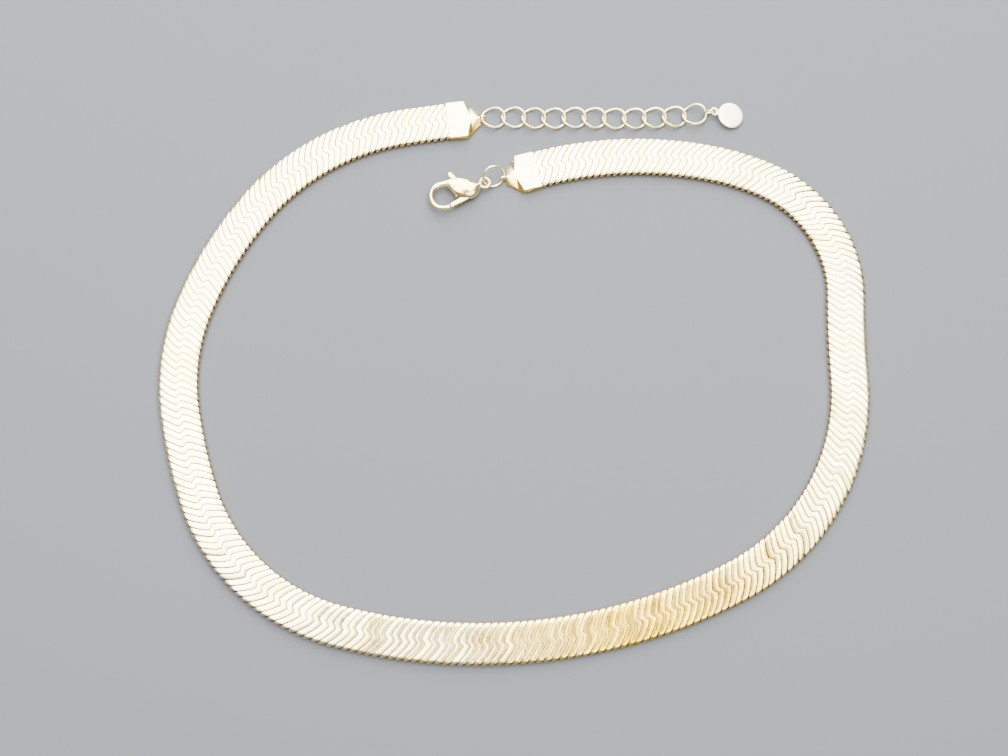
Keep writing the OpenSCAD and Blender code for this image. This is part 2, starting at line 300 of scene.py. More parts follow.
# The course's bend at each link, in radians a millimetre. Outside a bend a link keeps its own
# length, so that the gaps between the links open like a fan.
arc_ends = np.concatenate([[0], np.cumsum(COURSE[:, 0])])
arc_turns = np.concatenate([[0], np.cumsum(np.radians(COURSE[:, 1]))])
bend = np.gradient(np.interp(link_place, arc_ends, arc_turns), link_place)
fan = 1 / (1 + np.clip(bend[:, None, None] * across, 0, 1))
place = link_place[:, None, None] + pitch * (chevron(across) + shift + fan * link_along)
crush_start = SLEEVE + CRUSH_OUTSIDE
depth_in = np.maximum(crush_start - place, place - (COURSE_LENGTH - crush_start))
crush = np.clip(depth_in / CRUSH_RUN, 0, 1)
height = link_height + lean * link_along + roll * link_across - ROLLED
height = np.clip(height, 0, BAND_THICK) - BAND_THICK / 2
height = BAND_THICK / 2 + height * (1 - CRUSH_FLAT * crush)
place = np.where(place < END_ROOM, END_ROOM + END_DRAWN * (place - END_ROOM), place)
from_end = COURSE_LENGTH - place
drawn_in = COURSE_LENGTH - END_ROOM - END_DRAWN * (from_end - END_ROOM)
place = np.where(from_end < END_ROOM, drawn_in, place)
points = on_course(place, across * (1 - CRUSH_NARROW * crush), height)
ring = np.arange(around)
quads = np.array(grid_faces(len(row_along), around, wrap_columns=True))
ends = np.stack([ring[::-1], (len(row_along) - 1) * around + ring])
first = (np.arange(LINK_COUNT) * len(row_along) * around)[:, None, None]
faces = ((first + quads).reshape(-1, 4).tolist() + (first + ends).reshape(-1, around).tolist())
# Each link catches the light its own way: its slope along the chain sways a little
sway = (rng.normal(0, SWAY_SPREAD, per_link)
        + rng.normal(0, TWIST_SPREAD, per_link) * across / BAND_HALF)
slope = row_slope[:, None] + sway
ahead = unit(on_course(place + SHORT_STEP, across, height) - on_course(place, across, height))
right = np.stack([ahead[..., 1], -ahead[..., 0], 0 * ahead[..., 0]], axis=-1)
normals = unit(slope[..., None] * ahead + out_across[:, None] * right
               + out_height[:, None] * np.array([0, 0, 1]))
links = add_mesh("herringbone_links", points, faces, normals)
blotch = np.zeros(shape)
for spot_place, spot_across, long, wide, strength in TARNISH:
    away = ((place - spot_place) / long) ** 2 + ((across - spot_across) / wide) ** 2
    blotch = np.maximum(blotch, strength * np.exp(-away))
set_attribute(links, "tarnish", blotch)
# Painted shade at the front of the chain, strongest at its middle
set_attribute(links, "front_shade", np.exp(-((place - FRONT_SHADE_MIDDLE) / FRONT_SHADE_LENGTH) ** 2))
set_attribute(links, "tone", np.broadcast_to(rng.random(per_link), shape))
# Painted shade in the grooves: the rows at either end of each link
set_attribute(links, "groove_shade", np.array([1.0, 0, 0, 1.0])[:, None] + 0 * place)


def new_group(name, inputs, outputs):
    """A shader node group with named sockets, given as (name, kind, default) rows."""
    group = bpy.data.node_groups.new(name, "ShaderNodeTree")
    for label, kind, value in inputs:
        socket = group.interface.new_socket(label, in_out="INPUT", socket_type=kind)
        if value is not None:
            socket.default_value = value
    for label, kind in outputs:
        group.interface.new_socket(label, in_out="OUTPUT", socket_type=kind)
    return group


def add_node(tree, kind, settings=None, **inputs):
    """A node with its settings and its inputs, each a value or another node's socket. An input
    is named, with lines for spaces, or numbered as in0."""
    node = tree.nodes.new(kind)
    for key, value in (settings or {}).items():
        setattr(node, key, value)
    for key, value in inputs.items():
        name = key.replace("_", " ")
        numbered = name.startswith("in") and name[2:].isdigit()
        socket = node.inputs[int(name[2:]) if numbered else name]
        if isinstance(value, bpy.types.NodeSocket):
            tree.links.new(value, socket)
        else:
            socket.default_value = value
    return node


def blended(tree, amount, under, over):
    """A colour that goes from one to another as the amount goes from 0 to 1."""
    return add_node(tree, "ShaderNodeMix", {"data_type": "RGBA"}, in0=amount, in6=under,
                    in7=over).outputs[2]


def spread(tree, value, start, end, least=0.0, most=1.0):
    """A number that goes evenly from least to most while a value goes from start to end."""
    return add_node(tree, "ShaderNodeMapRange", Value=value, From_Min=start, From_Max=end,
                    To_Min=least, To_Max=most).outputs["Result"]


def combined(tree, operation, first, second):
    """The sum or product of two numbers."""
    return add_node(tree, "ShaderNodeMath", {"operation": operation}, in0=first,
                    in1=second).outputs["Value"]


# Worn gold plating, the same on every piece: a cloudy tone and fine scratches
plating = new_group("gold_plating", [
    ("Vector", "NodeSocketVector", None), ("Pale", "NodeSocketColor", (0.95, 0.84, 0.58, 1)),
    ("Deep", "NodeSocketColor", (0.80, 0.60, 0.28, 1)), ("Cloud Size", "NodeSocketFloat", 160.0),
    ("Scratch Size", "NodeSocketFloat", 2200.0), ("Gloss", "NodeSocketFloat", 0.22)],
    [("Color", "NodeSocketColor"), ("Roughness", "NodeSocketFloat"),
     ("Height", "NodeSocketFloat")])
inside = add_node(plating, "NodeGroupInput")
cloud = add_node(plating, "ShaderNodeTexNoise", Vector=inside.outputs["Vector"],
                 Scale=inside.outputs["Cloud Size"], Detail=4.0, Roughness=0.6)
clouded = spread(plating, cloud.outputs["Fac"], 0.40, 0.70)
stretch = add_node(plating, "ShaderNodeMapping", Vector=inside.outputs["Vector"],
                   Scale=(1.0, 0.12, 1.0), Rotation=(0.0, 0.0, 0.6))
scratch = add_node(plating, "ShaderNodeTexNoise", Vector=stretch.outputs["Vector"],
                   Scale=inside.outputs["Scratch Size"], Detail=3.0, Roughness=0.7)
scratched = spread(plating, scratch.outputs["Fac"], 0.45, 0.75, most=0.16)
outside = add_node(plating, "NodeGroupOutput")
plating.links.new(blended(plating, clouded, inside.outputs["Pale"], inside.outputs["Deep"]),
                  outside.inputs["Color"])
plating.links.new(combined(plating, "ADD", inside.outputs["Gloss"], scratched),
                  outside.inputs["Roughness"])
plating.links.new(scratch.outputs["Fac"], outside.inputs["Height"])


def plated_metal(name, pale, deep, cloud_size, gloss, bump=0.00002):
    """A metal with the worn plating on Object coordinates: its colour goes from pale to deep in
    clouds, and the scratches are bump metres deep. Returns the material, its tree, its shader
    and its group node."""
    material = bpy.data.materials.new(name)
    material.use_nodes = True
    tree = material.node_tree
    shader = tree.nodes["Principled BSDF"]
    shader.inputs["Metallic"].default_value = 1.0
    where = add_node(tree, "ShaderNodeTexCoord").outputs["Object"]
    group = add_node(tree, "ShaderNodeGroup", {"node_tree": plating}, Vector=where, Pale=pale,
                     Deep=deep, Cloud_Size=cloud_size, Gloss=gloss)
    dent = add_node(tree, "ShaderNodeBump", Strength=0.25, Distance=bump,
                    Height=group.outputs["Height"])
    tree.links.new(group.outputs["Color"], shader.inputs["Base Color"])
    tree.links.new(group.outputs["Roughness"], shader.inputs["Roughness"])
    tree.links.new(dent.outputs["Normal"], shader.inputs["Normal"])
    return material, tree, shader, group


def read_attribute(tree, name):
    """One of the piece's own numbers."""
    return add_node(tree, "ShaderNodeAttribute", {"attribute_name": name}).outputs["Fac"]


# Colours that the links take on, beside the plating's: one link more than the next, painted
# shade at the front, the spots of tarnish, and painted shade in the grooves and low on the sides
TONE_GOLD = (0.98, 0.79, 0.20, 1)
FRONT_SHADE_GOLD = (1.0, 0.67, 0.015, 1)
TARNISH_BROWN = (0.36, 0.16, 0.02, 1)
GROOVE_SHADE = (0.15, 0.09, 0.02, 1)
SIDE_SHADE_COPPER = (0.92, 0.44, 0.06, 1)
# Heights in metres where the painted shade on the sides, a copper red, starts and where it is
# strongest
SIDE_SHADE_START = 0.0017
SIDE_SHADE_FULL = 0.0009
link_material, tree, shader, group = plated_metal(
    "herringbone_gold", pale=(1.0, 0.93, 0.60, 1), deep=(1.0, 0.84, 0.40, 1), cloud_size=90.0,
    gloss=0.20, bump=0.000004)
where = add_node(tree, "ShaderNodeTexCoord").outputs["Object"]
tone = spread(tree, read_attribute(tree, "tone"), 0.0, 1.0, most=0.35)
toned = blended(tree, tone, group.outputs["Color"], TONE_GOLD)
# Painted shade: the front of the chain, which catches less light, takes a deeper gold in clouds
front_shade_cloud = add_node(tree, "ShaderNodeTexNoise", Vector=where, Scale=260.0, Detail=3.0)
front_shade = combined(tree, "MULTIPLY", read_attribute(tree, "front_shade"),
                spread(tree, front_shade_cloud.outputs["Fac"], 0.35, 0.6, least=0.75))
front_shaded = blended(tree, front_shade, toned, FRONT_SHADE_GOLD)
speckle = add_node(tree, "ShaderNodeTexNoise", Vector=where, Scale=1400.0, Detail=5.0,
                   Roughness=0.7)
tarnish = combined(tree, "MULTIPLY", read_attribute(tree, "tarnish"),
                   spread(tree, speckle.outputs["Fac"], 0.36, 0.58))
browned = blended(tree, tarnish, front_shaded, TARNISH_BROWN)
# Painted shade in the grooves between the links, a dark brown
groove_shade = spread(tree, read_attribute(tree, "groove_shade"), 0.02, 0.35, most=0.92)
groove_shaded = blended(tree, groove_shade, browned, GROOVE_SHADE)
# Painted shade low on the sides of the links, a copper red that grows towards the table
low = spread(tree, add_node(tree, "ShaderNodeSeparateXYZ", Vector=where).outputs["Z"],
             SIDE_SHADE_START, SIDE_SHADE_FULL, most=0.9)
tree.links.new(blended(tree, low, groove_shaded, SIDE_SHADE_COPPER), shader.inputs["Base Color"])
links.data.materials.append(link_material)
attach(links, "necklace")
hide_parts("herringbone_band")

# The hooked inner arms of the links
#
# Inside the chain the links' arms cross, and only a woven core shows between the links, painted
# dark brass as shade.
CORE_HALF = 4.45
CORE_HALF_THICK = 0.60
CORE_STEPS = 620
CORE_SIDES = 24
CORE_SQUARE = 0.35
WEAVE_DEPTH = 0.06
# How far the core runs into the sleeves, and how far outside them its crush starts
CORE_IN = 1.5
CORE_CRUSH_OUTSIDE = 1
CORE_FLAT = 0.35
CORE_NARROW = 0.15


def full_turn(count):
    """Angles spread evenly over a full turn."""
    return np.linspace(0, 2 * np.pi, count, endpoint=False)


def squarish(angle, power):
    """The two coordinates of a circle drawn out to its corners: the cosine and the sine of the
    angle, each with its size raised to a power."""
    cosine = np.cos(angle)
    sine = np.sin(angle)
    return (np.sign(cosine) * np.abs(cosine) ** power, np.sign(sine) * np.abs(sine) ** power)


def tube_faces(rows, columns):
    """Faces of rings of points joined in order, with both ends closed."""
    ring = np.arange(columns)
    return grid_faces(rows, columns, wrap_columns=True) + [
        ring[::-1].tolist(), ((rows - 1) * columns + ring).tolist()]


core_start = SLEEVE - CORE_IN
core_place = np.linspace(core_start, COURSE_LENGTH - core_start, CORE_STEPS)[:, None]
core_crush_start = SLEEVE + CORE_CRUSH_OUTSIDE
core_depth = np.maximum(core_crush_start - core_place,
                        core_place - (COURSE_LENGTH - core_crush_start))
core_crush = 1 - CORE_FLAT * np.clip(core_depth, 0, 1)
weave = WEAVE_DEPTH * np.cos(2 * np.pi * core_place / pitch)
core_c, core_s = squarish(-full_turn(CORE_SIDES), CORE_SQUARE)
core_across = (CORE_HALF + weave) * core_c * (1 - CORE_NARROW + CORE_NARROW * core_crush)
core_height = BAND_THICK / 2 - ROLLED + (CORE_HALF_THICK + weave) * core_s * core_crush
core_points = on_course(core_place + 0 * core_across, core_across, core_height)
core = add_mesh("herringbone_inner_arms", core_points, tube_faces(CORE_STEPS, CORE_SIDES))
# Its dark brass is painted shade, for the little light that reaches between the links
core.data.materials.append(plated_metal(
    "shaded_brass", pale=(0.30, 0.20, 0.08, 1), deep=(0.20, 0.12, 0.05, 1), cloud_size=400.0,
    gloss=0.5)[0])
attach(core, "necklace")
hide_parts("herringbone_band")

# The end caps
#
# Each end of the chain is crimped in a cap folded from thin brass sheet: a flat sleeve, a nose
# whose top plate runs out in a ridge between two falling facets, small ears at the corners,
# and a narrow loop on the tip for a ring.
NOSE = 3.7
SHEET = 0.3
CAP_HALF = 4.9
# The sleeve: height of its side, half width of its top plate, depth of its mouth and places
# along it where its outline is repeated
SLEEVE_SIDE = 1.78
SLEEVE_PLATE = 4.72
MOUTH_DEPTH = 1.2
SLEEVE_PLACES = (-3.4, -2.3, -1.2, -0.25)
# The mouth's rim: how far in its inner and outer folds lie, and its narrowing between them
RIM_INNER = 0.04
RIM_OUTER = 0.05
RIM_NARROWED = (1, 0.997, 0.985)
# Nose: place along it, half width, height of the side, half width of the top plate, its height
NOSE_ROWS = np.array([
    (0.0, 4.88, 1.55, 4.55, 1.90), (0.15, 4.72, 1.40, 3.9, 1.90), (0.40, 4.50, 1.22, 3.0, 1.89),
    (0.75, 4.24, 1.08, 2.0, 1.88), (1.10, 3.98, 0.98, 1.1, 1.87), (1.45, 3.70, 0.92, 0.65, 1.86),
    (1.90, 3.22, 0.86, 0.42, 1.83), (2.30, 2.80, 0.82, 0.34, 1.78), (2.85, 2.36, 0.78, 0.28, 1.68),
    (3.35, 2.00, 0.74, 0.24, 1.56), (3.60, 1.84, 0.71, 0.20, 1.48), (3.70, 1.72, 0.64, 0.16, 1.40)])
# The folds' size: along the top, down the side, up from the table
FOLD = 0.10
FOLD_DOWN = 0.14
FOLD_UP = 0.03
# The loop on the tip: its middle, the half sizes of its line and of its strip
LOOP_OUT = NOSE + 0.6
LOOP_HEIGHT = 1.05
LOOP_HALF_LONG = 0.725
LOOP_HALF_HIGH = 0.925
LOOP_HALF_SHEET = 0.125
LOOP_HALF_WIDE = 0.2
LOOP_STEPS = 32
BAR_SIDES = 10
BAR_SQUARE = 0.6
# The ears: place along the cap and how far out each row stands; then the section's places
# across, their heights, and which of them stand out
EAR_ROWS = [(-2.35, 0.0), (-2.25, 0.05), (-1.2, 0.09), (-0.25, 0.10), (-0.05, 0.03)]
EAR_SECTION = [(4.70, 0.25, 0), (4.70, 1.25, 0), (4.86, 1.10, 1), (4.90, 0.95, 1),
               (4.90, 0.45, 1), (4.86, 0.30, 1)]
# Painted shade, a deeper gold, on the low folds: the heights in metres where it starts and is
# strongest, and its share on the side that lies farther off
FOLD_SHADE_GOLD = (0.95, 0.60, 0.05, 1)
FOLD_SHADE_START = 0.00187
FOLD_SHADE_FULL = 0.0014
FAR_SHADE_SHARE = 0.25


def cap_section(x, half, side, plate, top):
    """Outline of the cap square to its length, over the top from one side wall to the other and
    back along the bottom: a flat plate on top that falls to the walls."""
    low = 0.12 if side > 1 else 0.10
    upper = [(plate * 0.5, top), (plate, top), (half - FOLD, side), (half, side - FOLD_DOWN),
             (half, side * 0.5)]
    lower = [(half, low), (half - FOLD, FOLD_UP), (half * 0.9, 0), (half * 0.45, 0)]
    across_top = [(-y, z) for y, z in upper[::-1]] + [(0, top)] + upper
    across_bottom = lower + [(0, 0)] + [(-y, z) for y, z in lower[::-1]]
    return np.array([(x, y, z) for y, z in across_top + across_bottom])


def loop_sweep(middle, out, side, half_out, half_side, sides, power=BAR_SQUARE):
    """Points of a bar carried along a closed line: at each point of the line, out and side span
    the section, a squarish circle with the two half sizes, or a round one if the power is 1."""
    c, s = squarish(-full_turn(sides), power)
    return (middle[:, None] + half_out * c[None, :, None] * out[:, None]
            + half_side * s[None, :, None] * side[:, None])


def join_parts(parts):
    """One list of points and one of faces from several pairs of them."""
    points = []
    faces = []
    for part_points, part_faces in parts:
        first = sum(len(p) for p in points)
        points.append(np.asarray(part_points).reshape(-1, 3))
        faces += [[first + c for c in face] for face in outward(part_points, part_faces)]
    return np.concatenate(points), faces


def turned_points(points, degrees, place):
    """Points in millimetres turned about the upright axis and moved to a place, in metres."""
    a = math.radians(degrees)
    turn = np.array([[math.cos(a), -math.sin(a), 0], [math.sin(a), math.cos(a), 0], [0, 0, 1]])
    return MM * (np.asarray(points) @ turn.T + np.array(place))


def sharpen(piece, degrees):
    """Marks the edges where two faces meet at more than an angle as sharp folds."""
    piece.data.set_sharp_from_angle(angle=math.radians(degrees))


sleeve_end = cap_section(0, CAP_HALF, SLEEVE_SIDE, SLEEVE_PLATE, BAND_THICK)
centre = np.array([0, 0, BAND_THICK / 2])
shrink = np.array([1, (CAP_HALF - SHEET) / CAP_HALF, (BAND_THICK - 2 * SHEET) / BAND_THICK])
mouth_out = sleeve_end + (-SLEEVE, 0, 0)
mouth_in = (sleeve_end - centre) * shrink + centre + (-SLEEVE, 0, 0)
mouth_rim = (mouth_out - centre) * RIM_NARROWED + centre
sleeve_rows = [mouth_in + (MOUTH_DEPTH, 0, 0), mouth_in + (RIM_INNER, 0, 0), mouth_rim,
               mouth_out + (RIM_OUTER, 0, 0)]
sleeve_rows += [sleeve_end + (x, 0, 0) for x in SLEEVE_PLACES]
cap_rows = np.array(sleeve_rows + [cap_section(*row) for row in NOSE_ROWS])
cap_shell = (cap_rows, tube_faces(len(cap_rows), cap_rows.shape[1]))
# The loop, a thin strip bent round a tall hole
angle = full_turn(LOOP_STEPS)
loop_c, loop_s = squarish(angle, BAR_SQUARE)
loop_middle = np.stack([LOOP_OUT + LOOP_HALF_LONG * loop_c, 0 * angle,
                        LOOP_HEIGHT + LOOP_HALF_HIGH * loop_s], axis=-1)
loop_out = np.stack([np.cos(angle), 0 * angle, np.sin(angle)], axis=-1)
loop_side = np.broadcast_to([0.0, 1.0, 0.0], loop_out.shape)
cap_loop = (loop_sweep(loop_middle, loop_out, loop_side, LOOP_HALF_SHEET, LOOP_HALF_WIDE,
                       BAR_SIDES),
            grid_faces(LOOP_STEPS, BAR_SIDES, wrap_rows=True, wrap_columns=True))
# The ears, small folded flaps that stand out at the corners
ears = []
for hand in (-1, 1):
    rows = np.array([[(x, hand * (y + share * out), z) for y, z, share in EAR_SECTION]
                     for x, out in EAR_ROWS])
    ears.append((rows, tube_faces(len(EAR_ROWS), len(EAR_SECTION))))
cap_points, cap_faces = join_parts([cap_shell, cap_loop] + ears)

cap_material, tree, shader, group = plated_metal(
    "folded_cap_gold", pale=(1.0, 0.92, 0.60, 1), deep=(1.0, 0.84, 0.44, 1), cloud_size=260.0,
    gloss=0.20)
where = add_node(tree, "ShaderNodeTexCoord").outputs["Object"]
# Painted shade on the low folds of the nose, strongest on the near side
low = spread(tree, add_node(tree, "ShaderNodeSeparateXYZ", Vector=where).outputs["Z"],
             FOLD_SHADE_START, FOLD_SHADE_FULL, most=0.95)
near_shade_low = combined(tree, "MULTIPLY", read_attribute(tree, "near_shade"), low)
tree.links.new(blended(tree, near_shade_low, group.outputs["Color"], FOLD_SHADE_GOLD),
               shader.inputs["Base Color"])

chain_end = on_course(np.array([COURSE_LENGTH]), np.array([0.0]), 0.0)[0] / MM
end_heading = COURSE_START[2] + COURSE[:, 1].sum()
tail_heading = COURSE_START[2] + 180
tail_cap = add_mesh("tail_cap", turned_points(
    cap_points, tail_heading, (COURSE_START[0], COURSE_START[1], 0)), cap_faces)
clasp_cap = add_mesh("clasp_cap", turned_points(cap_points, end_heading, chain_end), cap_faces)
# Painted shade deepens the gold on the low folds of the side that lies nearer in the view: the
# side of negative y in the drawing of the tail's cap, and of positive y in the clasp's
for piece, node, hand in ((tail_cap, "tail_end_cap", -1), (clasp_cap, "clasp_end_cap", 1)):
    set_attribute(piece, "near_shade", np.clip(FAR_SHADE_SHARE + hand * cap_points[:, 1], FAR_SHADE_SHARE, 1))
    sharpen(piece, 24)
    piece.data.materials.append(cap_material)
    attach(piece, "necklace")
    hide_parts(node)

# The extender
#
# Eleven curb links, each a ring of round brass wire twisted so that it lies flat in the chain,
# with its butted ends a hair apart. The last one leans up on the tag's ring.
LINK_WIRE = 0.33
LINK_LONG = 2.965
LINK_WIDE = 2.62
LINK_TWIST = 0.47
LINK_PITCH = 5.17
LINK_TURN = np.array([3, -2, -3, 1, 2.5, -3.5, -2, 2, 2, 4, 6.5])
FIRST_LINK_IN = 0.15
LAST_TILT = 8
# Where the cut in a link lies, in degrees round it, and half its width in radians
LINK_CUT = 112
LINK_CUT_HALF = 0.012
LINK_STEPS = 44
WIRE_SIDES = 12
# What rests on the table lies this far over it
OFF_TABLE = 0.01


def heading_vector(degrees):
    """The flat vector of length 1 with a heading."""
    return np.array([math.cos(math.radians(degrees)), math.sin(math.radians(degrees))])


def cut_ring(cut, cut_half, count):
    """Angles round a ring of wire from one side of its cut to the other."""
    return np.radians(cut) + np.linspace(cut_half, 2 * np.pi - cut_half, count)


def wire_ring(middle, radius):
    """Points of a round wire along an open line: at each point the section is a circle in the
    plane square to the line, set out from the direction away from the line's middle."""
    ahead = unit(np.gradient(middle, axis=0))
    out = middle - middle.mean(axis=0)
    out = unit(out - (out * ahead).sum(axis=1, keepdims=True) * ahead)
    side = np.cross(ahead, out)
    angle = full_turn(WIRE_SIDES)
    return (middle[:, None] + radius * np.cos(angle)[None, :, None] * out[:, None]
            - radius * np.sin(angle)[None, :, None] * side[:, None])


def tilted(points, degrees):
    """Points turned about the crosswise axis, so that the far end rises."""
    a = math.radians(degrees)
    turn = np.array([[math.cos(a), 0, -math.sin(a)], [0, 1, 0], [math.sin(a), 0, math.cos(a)]])
    return points @ turn.T


angle = cut_ring(LINK_CUT, LINK_CUT_HALF, LINK_STEPS)
curb_middle = np.stack([LINK_LONG * np.cos(angle), LINK_WIDE * np.sin(angle),
                        LINK_TWIST * np.sin(2 * angle)], axis=-1)
curb_points = wire_ring(curb_middle, LINK_WIRE)
link_dir = np.stack([np.cos(np.radians(LINK_TURN)), np.sin(np.radians(LINK_TURN))], axis=-1)
first_middle = (np.array(COURSE_START[:2])
                + (LOOP_OUT - FIRST_LINK_IN) * heading_vector(tail_heading)
                + LINK_LONG * link_dir[0])
steps = LINK_PITCH / 2 * (link_dir[1:] + link_dir[:-1])
link_middle = first_middle + np.concatenate([[[0, 0]], np.cumsum(steps, axis=0)])
curb_height = LINK_TWIST + LINK_WIRE + OFF_TABLE
wire_material = plated_metal(
    "wire_gold", pale=(1.0, 0.93, 0.50, 1), deep=(0.98, 0.80, 0.30, 1), cloud_size=420.0,
    gloss=0.22)[0]
for k, (middle, degrees) in enumerate(zip(link_middle, LINK_TURN)):
    tilt = LAST_TILT if k == len(LINK_TURN) - 1 else 0
    rise = LINK_LONG * math.sin(math.radians(tilt))
    piece = add_mesh("curb_link_%d" % (k + 1), turned_points(
        tilted(curb_points, tilt), degrees, (middle[0], middle[1], curb_height + rise)),
        tube_faces(LINK_STEPS, WIRE_SIDES))
    sharpen(piece, 60)
    piece.data.materials.append(wire_material)
    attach(piece, "necklace")
    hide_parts("extender_link_%d" % (k + 1))

# The tag's ring
#
# A small ring of thin wire that stands on edge between the last curb link and the tag.
TAG_RING = 1.45
TAG_WIRE = 0.25
TAG_RING_LEAN = 13
TAG_RING_CUT = 100
TAG_RING_CUT_HALF = 0.016
TAG_RING_STEPS = 36
TAG_RING_PLAY = 0.06
tail_dir = heading_vector(LINK_TURN[-1])
chain_tip = link_middle[-1] + LINK_LONG * math.cos(math.radians(LAST_TILT)) * tail_dir
ring_middle = chain_tip + (TAG_RING - TAG_WIRE - LINK_WIRE - TAG_RING_PLAY) * tail_dir
ring_height = TAG_RING + TAG_WIRE + 2 * OFF_TABLE
angle = cut_ring(TAG_RING_CUT, TAG_RING_CUT_HALF, TAG_RING_STEPS)
ring_line = np.stack([TAG_RING * np.cos(angle), 0 * angle, TAG_RING * np.sin(angle)], axis=-1)
ring_lean = np.array(Matrix.Rotation(math.radians(TAG_RING_LEAN), 3, "X"))
ring_points = wire_ring(ring_line, TAG_WIRE) @ ring_lean.T
tag_ring = add_mesh("tag_wire_ring", turned_points(
    ring_points, LINK_TURN[-1], (ring_middle[0], ring_middle[1], ring_height)),
    tube_faces(TAG_RING_STEPS, WIRE_SIDES))
sharpen(tag_ring, 60)
tag_ring.data.materials.append(wire_material)
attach(tag_ring, "necklace")
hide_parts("tag_ring")

# The tag
#
# A blank round disc stamped from sheet with a tumbled edge, and a pierced lug at its rim. It
# leans on its far edge, with the lug held up by the ring.
TAG_RADIUS = 3.45
TAG_THICK = 0.6
TAG_TILT = 10
TAG_SWING = 17
TAG_SIDES = 56
# Half of the disc's profile: distance from its middle, height
TAG_PROFILE = np.array([
    (0.02, 0.300), (1.2, 0.300), (2.4, 0.298), (2.95, 0.290), (3.2, 0.272), (3.35, 0.225),
    (3.43, 0.12), (3.45, 0.0)])
# The lug: distance of its hole from the disc's middle, radius of its line, half sizes of its bar
LUG_OUT = 4.4
LUG_RADIUS = 0.79
LUG_HALF_WIDE = 0.31
LUG_HALF_THICK = 0.28
LUG_STEPS = 28
# The neck between lug and disc: its two ends along the tag, and its section across and up
NECK_ENDS = (-3.80, -3.1)
NECK_SECTION = [(-0.77, -0.2), (-0.77, 0.2), (-0.67, 0.27), (0.67, 0.27), (0.77, 0.2),
                (0.77, -0.2), (0.67, -0.27), (-0.67, -0.27)]


def lathe(profile, around):
    """Points of a profile of (distance, height) rows turned about the upright axis."""
    angle = full_turn(around)
    radius = profile[:, None, 0]
    return np.stack([radius * np.cos(angle), radius * np.sin(angle),
                     profile[:, None, 1] + 0 * angle], axis=-1)


def flat_circle(count):
    """The ways out from the middle of a flat circle at even steps round it, and the way up at
    each of them."""
    angle = full_turn(count)
    out = np.stack([np.cos(angle), np.sin(angle), 0 * angle], axis=-1)
    return out, np.broadcast_to([0.0, 0.0, 1.0], out.shape)


disc_profile = np.concatenate([TAG_PROFILE * (1, -1), TAG_PROFILE[:-1][::-1]])
disc = (lathe(disc_profile, TAG_SIDES), tube_faces(len(disc_profile), TAG_SIDES))
lug_out, lug_up = flat_circle(LUG_STEPS)
lug = (loop_sweep(LUG_RADIUS * lug_out + (-LUG_OUT, 0, 0), lug_out, lug_up, LUG_HALF_WIDE,
                  LUG_HALF_THICK, BAR_SIDES),
       grid_faces(LUG_STEPS, BAR_SIDES, wrap_rows=True, wrap_columns=True))
neck = (np.array([[(x, y, z) for y, z in NECK_SECTION] for x in NECK_ENDS]),
        tube_faces(len(NECK_ENDS), len(NECK_SECTION)))
tag_points, tag_faces = join_parts([disc, lug, neck])
tag_turn = LINK_TURN[-1] - TAG_SWING
tag_tilt = math.radians(TAG_TILT)
tag_middle = (ring_middle + TAG_RING * tail_dir
              + LUG_OUT * math.cos(tag_tilt) * heading_vector(tag_turn))
tag_height = (TAG_RADIUS * math.sin(tag_tilt) + TAG_THICK / 2 * math.cos(tag_tilt)
              + OFF_TABLE)
tag = add_mesh("blank_tag", turned_points(
    tilted(tag_points, -TAG_TILT), tag_turn, (tag_middle[0], tag_middle[1], tag_height)),
    tag_faces)
sharpen(tag, 40)
tag.data.materials.append(plated_metal(
    "tag_gold", pale=(1.0, 0.96, 0.72, 1), deep=(1.0, 0.90, 0.58, 1), cloud_size=300.0,
    gloss=0.28, bump=0.00001)[0])
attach(tag, "necklace")
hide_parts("tag")

# The jump ring
#
# A round wire ring, opened and closed with pliers, that joins the clasp's eye to the cap. It
# leans between the two.
JUMP_RADIUS = 2.65
JUMP_WIRE = 0.3
JUMP_TURN = 12
JUMP_ROLL = 42.9
JUMP_PITCH = 10.2
JUMP_HEIGHT = 2.18
JUMP_CUT = 250
JUMP_CUT_HALF = 0.010
JUMP_STEPS = 56
# The loop of the cap and the clasp's eye, from the ring's middle, along and across its turn
LOOP_FROM_JUMP = (2.37, -0.59)
EYE_FROM_JUMP = (-2.45, -1.07)


def flat_turn(vector, degrees):
    """A flat vector turned by an angle."""
    x, y = vector
    c, s = heading_vector(degrees)
    return np.array([x * c - y * s, x * s + y * c])


cap_loop_middle = chain_end[:2] + LOOP_OUT * heading_vector(end_heading)
jump_middle = cap_loop_middle - flat_turn(LOOP_FROM_JUMP, JUMP_TURN)
eye_middle = jump_middle + flat_turn(EYE_FROM_JUMP, JUMP_TURN)
angle = cut_ring(JUMP_CUT, JUMP_CUT_HALF, JUMP_STEPS)
jump_line = np.stack([JUMP_RADIUS * np.cos(angle), JUMP_RADIUS * np.sin(angle), 0 * angle],
                     axis=-1)
jump_roll = np.array(Matrix.Rotation(math.radians(JUMP_ROLL), 3, "X"))
jump_pitch = np.array(Matrix.Rotation(math.radians(JUMP_PITCH), 3, "Y"))
jump_points = wire_ring(jump_line, JUMP_WIRE) @ jump_roll.T @ jump_pitch.T
jump = add_mesh("jump_wire_ring", turned_points(
    jump_points, JUMP_TURN, (jump_middle[0], jump_middle[1], JUMP_HEIGHT)),
    tube_faces(JUMP_STEPS, WIRE_SIDES))
sharpen(jump, 60)
jump.data.materials.append(wire_material)
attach(jump, "necklace")
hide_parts("jump_ring")

